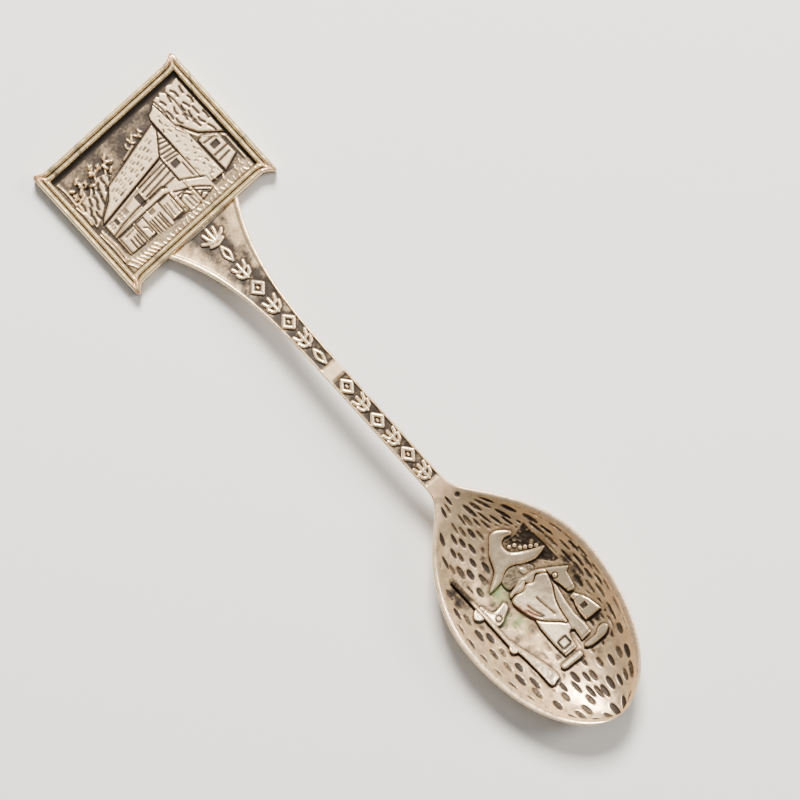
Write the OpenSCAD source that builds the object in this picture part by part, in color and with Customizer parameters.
// Souvenir spoon with a framed relief plaque at the top of its stem.
// It lies face up: +Y runs from the bowl to the plaque, +Z is up, and z = 0 is the table.

/* [Overall] */
// Length from the bowl's tip to the frame's upper corner ears
overall_len = 102; // [96:1:110]

/* [Bowl] */
// Length from the tip to the neck
bowl_len = 38.2; // [34:0.1:40]
// Width across the rim
bowl_w = 21.1; // [18:0.1:24]
// Depth inside, from the rim to the deepest point
bowl_depth = 4.6; // [3.5:0.1:5.5]
// Thickness of the bowl's wall at its lowest point
bowl_wall = 1.1; // [0.9:0.1:1.6]
// Sideways lean of the bowl, in degrees
bowl_lean = 3.2; // [0:0.2:4]
// Height of the figure above the bowl's floor
figure_raise = 0.75; // [0.5:0.05:1]

/* [Stem] */
// Width at the narrowest point
stem_w = 2.7; // [2.4:0.1:3.6]
// Width of the flared end under the plaque
flare_w = 12.1; // [9:0.1:14]
// Thickness along the middle
stem_t = 1.6; // [1.4:0.1:1.9]
// How far the stem arches above a plain curve
stem_arch = 0.9; // [0.4:0.1:1.6]
// Depth of the two sunk panels
panel_depth = 0.3; // [0.2:0.05:0.4]

/* [Plaque] */
// Width over the two stiles
frame_w = 24.3; // [20:0.1:26]
// Height over the two rails, without the ears
frame_h = 18.9; // [16:0.1:20]
// Width of each moulding
rail_w = 1.4; // [1.2:0.05:1.8]
// Depth of the frame, front to back
frame_t = 2.4; // [2.2:0.1:3]
// How far the upper corner ears stand past the top rail
upper_ear = 0.6; // [0.4:0.05:1]
// How far the lower corner ears stand past the bottom rail
lower_ear = 1.0; // [0.4:0.05:1.2]
// Thickness of the back plate
back_t = 0.45; // [0.4:0.05:0.6]
// Thickness of the scene plate without its relief
plate_t = 0.65; // [0.5:0.05:0.8]

/* [Hidden] */
$fn = 48;

metal = [0.80, 0.73, 0.64];
old_metal = [0.62, 0.54, 0.46];
solder = [0.70, 0.68, 0.66];

// Places along the spoon
widest_share = 0.487;
tip_y = -overall_len / 2;
neck_y = tip_y + bowl_len;
widest_y = tip_y + widest_share * bowl_len;
frame_top_y = overall_len / 2 - upper_ear;
frame_low_y = frame_top_y - frame_h;
plaque_y = (frame_top_y + frame_low_y) / 2;
stem_len = frame_low_y - neck_y;
neck_len = neck_y - widest_y;

// Half widths and levels
bowl_hw = bowl_w / 2;
stem_hw = stem_w / 2;
flare_hw = flare_w / 2;
rim_z = bowl_depth + bowl_wall;
end_z = 1.95;
neck_lift = stem_arch * PI * neck_len / (3 * stem_len);

// Shape of the outline: how softly the neck opens, where the flare starts and how fast it grows
neck_soft = 0.035;
flare_start = 0.35;
flare_power = 3.5;

// Shape of the section
rim_edge = 0.55;
rim_max = 0.6;
rim_share = 0.16;
bowl_curve = 2.4;
fill_power = 1.3;
end_thinning = 0.3;
thicken_from = 6;
thicken_way = 8;

// Ends of the sunk panels, as shares of the stem from the neck
panels = [[-0.005, 0.415], [0.448, 1.02]];
panel_ramp = 0.012;

function ease(t) = let (c = min(1, max(0, t))) c * c * (3 - 2 * c);

// Half width of the blank at y: a half ellipse at the tip, a soft shoulder, then the flaring stem
function shoulder(t) = 1 - pow(1 - (1 + neck_soft) * pow(t, 3) / (t * t + neck_soft), 2);
function half_width(y) =
    y <= widest_y ? bowl_hw * sqrt(max(0, 1 - pow((widest_y - y) / (widest_y - tip_y), 2)))
    : y <= neck_y ? stem_hw + (bowl_hw - stem_hw) * shoulder((neck_y - y) / neck_len)
    : let (q = ((y - neck_y) / stem_len - flare_start) / (1 - flare_start))
        stem_hw + (flare_hw - stem_hw) * pow(max(0, q), flare_power);

// Level of the rim and of the stem's upper edges
function top_z(y) =
    y <= widest_y ? rim_z
    : y <= neck_y ? rim_z + neck_lift * pow((y - widest_y) / neck_len, 3)
    : let (q = (frame_low_y - y) / stem_len)
        end_z + (rim_z + neck_lift - end_z) * sin(90 * q) + stem_arch * sin(180 * q);

// Depth of the hollow along the middle
function hollow(y) =
    y <= widest_y ? bowl_depth * pow(half_width(y) / bowl_hw, fill_power)
    : y <= neck_y ? bowl_depth * pow((half_width(y) - stem_hw) / (bowl_hw - stem_hw), fill_power)
    : 0;

// How far the sunk panels have dropped at y
function in_panel(y, p) =
    let (s = (y - neck_y) / stem_len)
    ease((s - p[0]) / panel_ramp) * ease((p[1] - s) / panel_ramp);
function sunk(y) = panel_depth * max([for (p = panels) in_panel(y, p)]);

// Upper surface inside the rim, and the underside
function inside_x(y) = half_width(y) - min(rim_max, rim_share * half_width(y));
function floor_z(x, y) =
    top_z(y) - sunk(y) - hollow(y) * (1 - pow(min(1, abs(x) / inside_x(y)), bowl_curve));
function belly(y) =
    bowl_wall - rim_edge + (stem_t - bowl_wall) * ease((y - neck_y + thicken_from) / thicken_way)
    - end_thinning * ease((y - neck_y) / stem_len);
function under_z(x, y) =
    top_z(y) - rim_edge - (hollow(y) + belly(y)) * (1 - pow(min(1, abs(x) / half_width(y)), bowl_curve));

// The bowl is turned a little about the neck. The turn grows over a short way.
lean_way = 8;
function leaned(p) =
    let (a = bowl_lean * ease((neck_y - p[1]) / lean_way), d = p[1] - neck_y)
    [p[0] * cos(a) + d * sin(a), neck_y + d * cos(a) - p[0] * sin(a), p[2]];

// Rings of points along the blank. Each ring runs under it from left to right and back over it.
tip_rings = 16;
shoulder_rings = 16;
stem_rings = 26;
columns = 8;
tip_turn = 87;
floor_share = 0.94;
spread = 75;
ring_y = concat(
    [for (i = [0 : tip_rings - 1]) widest_y - (widest_y - tip_y) * sin(tip_turn * (1 - i / tip_rings))],
    [for (i = [0 : shoulder_rings - 1]) widest_y + neck_len * i / shoulder_rings],
    [for (i = [0 : stem_rings]) neck_y + stem_len * i / stem_rings]
);
function across(half, n) = [for (i = [-n : n]) half * sin(spread * i / n) / sin(spread)];
function floor_points(y) = [for (x = across(floor_share * inside_x(y), columns)) [x, y, floor_z(x, y)]];
function under_points(y) = [for (x = across(half_width(y), columns + 2)) [x, y, under_z(x, y)]];
function edge_points(y, side) =
    let (edge = [[half_width(y), y, top_z(y)], [inside_x(y), y, top_z(y)]])
    [for (p = side > 0 ? edge : [edge[1], edge[0]]) [side * p[0], p[1], p[2]]];
function reversed(list) = [for (i = [len(list) - 1 : -1 : 0]) list[i]];
function blank_ring(y) =
    concat(under_points(y), edge_points(y, 1), reversed(floor_points(y)), edge_points(y, -1));

// A closed skin through rings. The first half of each ring lies below the second half.
module skin(rings, flip = false) {
    n = len(rings[0]);
    count = len(rings);
    points = [for (r = rings, p = r) leaned(p)];
    sides = [
        for (i = [0 : count - 2], j = [0 : n - 1])
            let (a = i * n + j, b = i * n + (j + 1) % n)
            each (flip ? [[a, b, a + n], [b, b + n, a + n]] : [[a, b, b + n], [a, b + n, a + n]])
    ];
    strips = [for (i = [0 : n / 2 - 2]) [i, i + 1, n - 2 - i, n - 1 - i]];
    caps = [for (q = strips) each [reversed(q), q + (count - 1) * n * [1, 1, 1, 1]]];
    polyhedron(points, concat(sides, caps), convexity = 6);
}

// Bowl, neck and stem, cast in one
module spoon_blank() {
    color(metal) skin([for (y = ring_y) blank_ring(y)]);
}

// A layer of even height that lies on the blank's upper surface between two places
module layer(from_y, to_y, height) {
    skin([
        for (y = ring_y) if (y > from_y && y < to_y)
            let (low = floor_points(y))
            concat(low, [for (p = reversed(low)) p + [0, 0, height]])
    ], flip = true);
}

// Woodsman in a soft hat, in plan, with its origin at the widest point of the bowl
hat = [[-4.3, 4], [-2.1, 5.4], [-0.5, 8.4], [1, 9.6], [3.1, 8.1], [1.1, 7.8], [1.3, 6.2], [5, 3.9], [3, 3.4],
    [-0.4, 4.8]];
beard = [[-2.9, 1.3], [-2.2, 2.2], [0.2, 3], [3.1, 1.6], [2.6, -0.4], [0.9, -5.9], [-1.7, -3.2]];
arm = [[-6.5, 3.5], [-6.5, 0], [-4.8, 0.3], [-3.7, 0.9], [-3.7, 1.9], [-5.4, 1.7], [-6, 3.3]];
hand = [[-7.9, 2.8], [-7, 3.6], [-7, 2.1]];
sleeve = [[3.1, 1.7], [5.7, -0.1], [5, -0.4], [4.3, -2.9], [3.3, -2.5]];
trousers = [[-2.5, -3.6], [2.4, -1.2], [2.2, -8.4], [0.6, -8.5], [0.5, -7], [-0.2, -6.9], [-0.5, -8.7],
    [-2.4, -8.6]];
jug = [[3.1, -3.3], [3.9, -3.3], [4.8, -5], [5.2, -6.9], [2.6, -6.9]];
gun = [[-6.5, 8.6], [-7, 8.6], [-7, -2.9], [-6.6, -4], [-6.4, -10], [-4.7, -10], [-6.2, -3]];
left_boot = [[-3.6, -9], [-0.6, -9.1], [-0.6, -9.9], [-3.6, -9.8]];
right_boot = [[0.4, -9], [4.1, -8.7], [4, -9.5], [0.5, -9.8]];

figure_margin = 3;
module bowl_figure() {
    color(metal) intersection() {
        layer(tip_y + figure_margin, neck_y - figure_margin, figure_raise);
        translate([0, widest_y, 0]) linear_extrude(2 * rim_z) {
            for (clothes = [hat, arm, sleeve, trousers, left_boot, right_boot]) polygon(clothes);
            for (other = [beard, hand, jug, gun]) polygon(other);
        }
    }
}

// Raised motifs that stand on the floors of the sunk panels
motif_h = 0.38;
lozenge_l = 2.2;
lozenge_line = 0.42;
lozenge_point = 0.55;
leaf_l = 2.2;
leaf_w = 0.6;
leaf_tilt = 34;
upper_w = 1.7;
lower_w = 1.5;
upper_pitch = 2.98;
lower_pitch = 2.92;
upper_first = frame_low_y - 1.75;
lower_first = neck_y + 16.5;
palmette_drop = 1.05;
petal_reach = 1.35;
petal_l = 1.9;
petal_turn = 32;
upper_motifs = 7;
lower_motifs = 6;
slope_step = 0.5;

function slope_at(y) = atan2(top_z(y + slope_step) - top_z(y - slope_step), 2 * slope_step);
module on_panel(y) {
    translate([0, y, top_z(y) - panel_depth]) rotate([slope_at(y), 0, 0])
        linear_extrude(motif_h) children();
}
module leaf(length, width) {
    r = (length * length / width + width) / 4;
    intersection() {
        translate([r - width / 2, 0]) circle(r);
        translate([width / 2 - r, 0]) circle(r);
    }
}
module diamond(length, width) {
    polygon([[0, length / 2], [width / 2, 0], [0, -length / 2], [-width / 2, 0]]);
}
module lozenge(width) {
    difference() {
        diamond(lozenge_l, width);
        diamond(lozenge_l - 2 * lozenge_point, width - 2 * lozenge_line);
    }
}
module sprig(width) {
    for (side = [-1, 1]) translate([side * width / 4, 0]) rotate(-side * leaf_tilt) leaf(leaf_l, leaf_w);
}
module palmette() {
    for (i = [-2 : 2]) rotate(i * petal_turn) translate([0, petal_reach]) leaf(petal_l, leaf_w);
}
module stem_ornament() {
    color(metal) {
        on_panel(upper_first - palmette_drop) palmette();
        for (i = [1 : upper_motifs]) on_panel(upper_first - i * upper_pitch) {
            if (i == 1 || i == upper_motifs) leaf(leaf_l, leaf_w);
            else if (i % 2 == 0) sprig(upper_w);
            else lozenge(upper_w);
        }
        for (i = [0 : lower_motifs - 1]) on_panel(lower_first - i * lower_pitch) {
            if (i % 2 == 0) lozenge(lower_w);
            else sprig(lower_w);
        }
    }
}

// Bead of solder between the stem's end and the frame
bead = 0.3;
bead_half = 3.6;
module solder_seam() {
    last_ring = frame_low_y - stem_len / stem_rings;
    slope = (top_z(last_ring) - end_z) / (frame_low_y - last_ring);
    low = end_z - panel_depth;
    color(solder) translate([-bead_half, 0, 0]) rotate([90, 0, 90]) linear_extrude(2 * bead_half)
        polygon([[frame_low_y, low], [frame_low_y, low + bead], [frame_low_y - bead, low + bead * slope]]);
}

// Frame: four mouldings, mitred from the sight edge out to the ears
sight_w = frame_w - 2 * rail_w;
sight_h = frame_h - 2 * rail_w;
ear_inset = 0.45;
ear_x = frame_w / 2 - ear_inset;
ear_tip = 0.8;
ear_sweep = 2.2;
ear_knee = 0.3;
ear_round = 0.3;
groove_at = 0.52;
groove_w = 0.32;
groove_depth = 0.3;
rebate = 0.4;
clear = 1;

module rail_plan(ear) {
    low = -frame_h / 2;
    polygon([
        [-ear_x, low - ear], [ear_tip - ear_x, low - ear_knee * ear], [ear_sweep - ear_x, low],
        [ear_x - ear_sweep, low], [ear_x - ear_tip, low - ear_knee * ear], [ear_x, low - ear],
        [sight_w / 2, low + rail_w], [-sight_w / 2, low + rail_w]
    ]);
}
module stile_plan() {
    side = frame_w / 2;
    low = -frame_h / 2;
    top = frame_h / 2;
    polygon([
        [ear_x, low - lower_ear], [side, low - lower_ear + ear_round], [side, top + upper_ear - ear_round],
        [ear_x, top + upper_ear], [sight_w / 2, top - rail_w], [sight_w / 2, low + rail_w]
    ]);
}
module grooves_and_rebate() {
    groove_box = [frame_w - 2 * groove_at, frame_h - 2 * groove_at];
    translate([0, 0, frame_t - groove_depth]) linear_extrude(groove_depth + clear) difference() {
        square(groove_box, center = true);
        square(groove_box - 2 * [groove_w, groove_w], center = true);
    }
    translate([0, 0, -clear]) linear_extrude(clear + back_t + plate_t)
        square([sight_w + 2 * rebate, sight_h + 2 * rebate], center = true);
}
module moulding() {
    color(metal) translate([0, plaque_y, 0]) difference() {
        linear_extrude(frame_t) children();
        grooves_and_rebate();
    }
}
module frame_bottom_rail() {
    moulding() rail_plan(lower_ear);
}
module frame_top_rail() {
    moulding() mirror([0, 1]) rail_plan(upper_ear);
}
module frame_right_stile() {
    moulding() stile_plan();
}
module frame_left_stile() {
    moulding() mirror([1, 0]) stile_plan();
}

// Back plate and struck scene plate, held in the frame's rebate
module rebate_sheet(low, thick) {
    translate([0, plaque_y, low]) linear_extrude(thick)
        square([sight_w + 2 * rebate, sight_h + 2 * rebate], center = true);
}
module back_plate() {
    color(old_metal) rebate_sheet(0, back_t);
}

// The scene, in plan, with its origin at the plaque's centre
roof = [[-9.6, -0.7], [-5.6, 2.5], [4.1, 5], [1.8, 1.2]];
walls = [[-9.2, -1], [1.7, 0.9], [4, 4.4], [4.3, -4.4], [-9.2, -5.7]];
shed_walls = [[7, -1], [9.9, -2.6], [9.9, -4.9], [7, -5.7]];
shed_roof = [[5.7, 2.6], [6.9, 3.2], [10.5, -1.2], [10.5, -2.3]];
woods = [[4.2, 5.4], [6.2, 7.1], [10.4, 7.1], [10.4, -0.6], [4.6, -1.6]];
thicket = [[-10.4, 4.4], [-8, 6], [-3.6, 6], [-3.4, 3.4], [-6, 2.6], [-10.4, -0.6]];
bank = [[-10.5, -7.8], [10.5, -7.8], [10.5, -5.4], [1, -6.4], [-10.5, -5.6]];
stack = [[4.3, -5], [4.2, 5.9], [6.1, 6.3], [6.6, -5]];
porch_roof = [[-9.5, -2.9], [-9.5, -2.3], [-0.8, -2.2], [-0.5, -2.7]];
stair = [[0.2, -3], [0.5, -2.3], [5, -5.7], [4.4, -6.2]];
windows = [[-8, -1.7], [-3.6, -1.2], [2.9, -0.8], [8.4, -2.6]];
window_size = [0.9, 0.9];
posts = [-9.1, -6.6, -2.4, -0.9];
post_size = [0.35, 3.2];
post_y = -4.3;
wall_h = 0.35;
roof_h = 0.55;
woods_h = 0.3;
front_h = 0.5;

module raised(outline, height) {
    translate([0, plaque_y, back_t]) linear_extrude(plate_t + height) polygon(outline);
}
module scene_masses() {
    rebate_sheet(back_t, plate_t);
    raised(roof, roof_h);
    raised(walls, wall_h);
    raised(shed_walls, wall_h);
    raised(shed_roof, roof_h);
    raised(woods, woods_h);
    raised(thicket, woods_h);
    raised(bank, woods_h);
    raised(stack, roof_h);
    raised(porch_roof, front_h);
    raised(stair, front_h);
    for (x = posts) translate([x, plaque_y + post_y, back_t + (plate_t + front_h) / 2])
        cube([post_size[0], post_size[1], plate_t + front_h], center = true);
}
module scene_plate() {
    color(old_metal) difference() {
        scene_masses();
        for (p = windows) translate([p[0], p[1] + plaque_y, back_t + plate_t]) linear_extrude(clear)
            square(window_size, center = true);
    }
}

spoon_blank();
bowl_figure();
stem_ornament();
solder_seam();
frame_top_rail();
frame_bottom_rail();
frame_left_stile();
frame_right_stile();
scene_plate();
back_plate();
